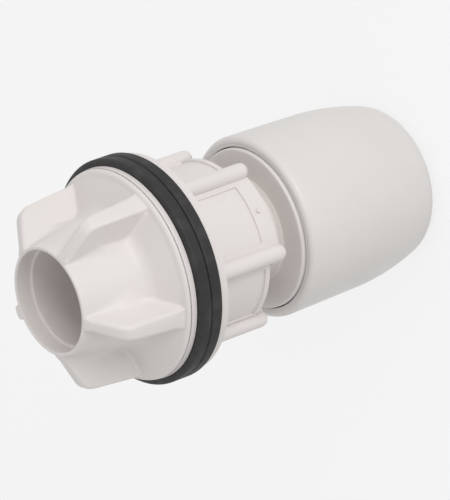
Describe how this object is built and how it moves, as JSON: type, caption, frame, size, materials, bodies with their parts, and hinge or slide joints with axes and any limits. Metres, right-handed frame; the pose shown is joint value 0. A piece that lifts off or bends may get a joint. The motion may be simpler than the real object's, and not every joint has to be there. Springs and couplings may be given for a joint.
{
  "type": "tank connector",
  "caption": "Push-fit tank connector: barrel cap over a pipe socket with grab wedge and seal, threaded tail with ribbed backnut, two rubber washers and winged hand nut.",
  "frame": {"origin": "centre of the retaining cap's mouth, on the plane that the fitting stands on", "axes": "+Z along the fitting's axis, from the pipe mouth to the winged nut; +X towards the side the picture shows"},
  "size_m": [0.056, 0.056, 0.1062],
  "materials": {
    "white_plastic": "moulded, fine matt",
    "white_cap": "moulded, satin",
    "acetal": "moulded, slightly glossy",
    "tooth_steel": "stamped spring steel",
    "black_rubber": "matt",
    "seal_rubber": "smooth, lightly greased"
  },
  "bodies": {
    "body": {"connector_body": "white_plastic", "pipe_seal_ring": "seal_rubber"},
    "spacer": {"spacer_washer": "acetal"},
    "cap": {"retaining_cap": "white_cap"},
    "grip": {"grab_wedge": "acetal", "grip_tooth_1": "tooth_steel", "grip_tooth_2": "tooth_steel", "grip_tooth_3": "tooth_steel", "grip_tooth_4": "tooth_steel", "grip_tooth_5": "tooth_steel", "grip_tooth_6": "tooth_steel", "grip_tooth_7": "tooth_steel", "grip_tooth_8": "tooth_steel"},
    "inner_washer": {"front_washer": "black_rubber"},
    "wing_nut": {"winged_nut": "white_plastic"},
    "outer_washer": {"rear_washer": "black_rubber"},
    "rib_nut": {"ribbed_backnut": "white_plastic"}
  },
  "joints": [
    {"name": "cap_travel", "type": "slide", "parent": "body", "child": "spacer", "axis": [0, 0, -1], "range_m": [0, 0.009]},
    {"name": "cap_turn", "type": "hinge", "parent": "spacer", "child": "cap", "pos_m": [0, 0, 0.02], "axis": [0, 0, -1], "range_deg": [0, 1080]},
    {"name": "grip_float", "type": "slide", "parent": "spacer", "child": "grip", "axis": [0, 0, 1], "range_m": [0, 0.0012]},
    {"name": "winged_nut_travel", "type": "slide", "parent": "body", "child": "inner_washer", "axis": [0, 0, 1], "range_m": [0, 0.00545]},
    {"name": "winged_nut_turn", "type": "hinge", "parent": "inner_washer", "child": "wing_nut", "pos_m": [0, 0, 0.0826], "axis": [0, 0, 1], "range_deg": [0, 1080]},
    {"name": "ribbed_nut_travel", "type": "slide", "parent": "body", "child": "outer_washer", "axis": [0, 0, -1], "range_m": [0, 0.00545]},
    {"name": "ribbed_nut_turn", "type": "hinge", "parent": "outer_washer", "child": "rib_nut", "pos_m": [0, 0, 0.0762], "axis": [0, 0, -1], "range_deg": [0, 1080]}
  ],
  "couplings": [
    {"joint": "cap_travel", "follows": "cap_turn", "m_per_rad": 0.00047746},
    {"joint": "winged_nut_travel", "follows": "winged_nut_turn", "m_per_rad": 0.00028871},
    {"joint": "ribbed_nut_travel", "follows": "ribbed_nut_turn", "m_per_rad": 0.00028871}
  ]
}
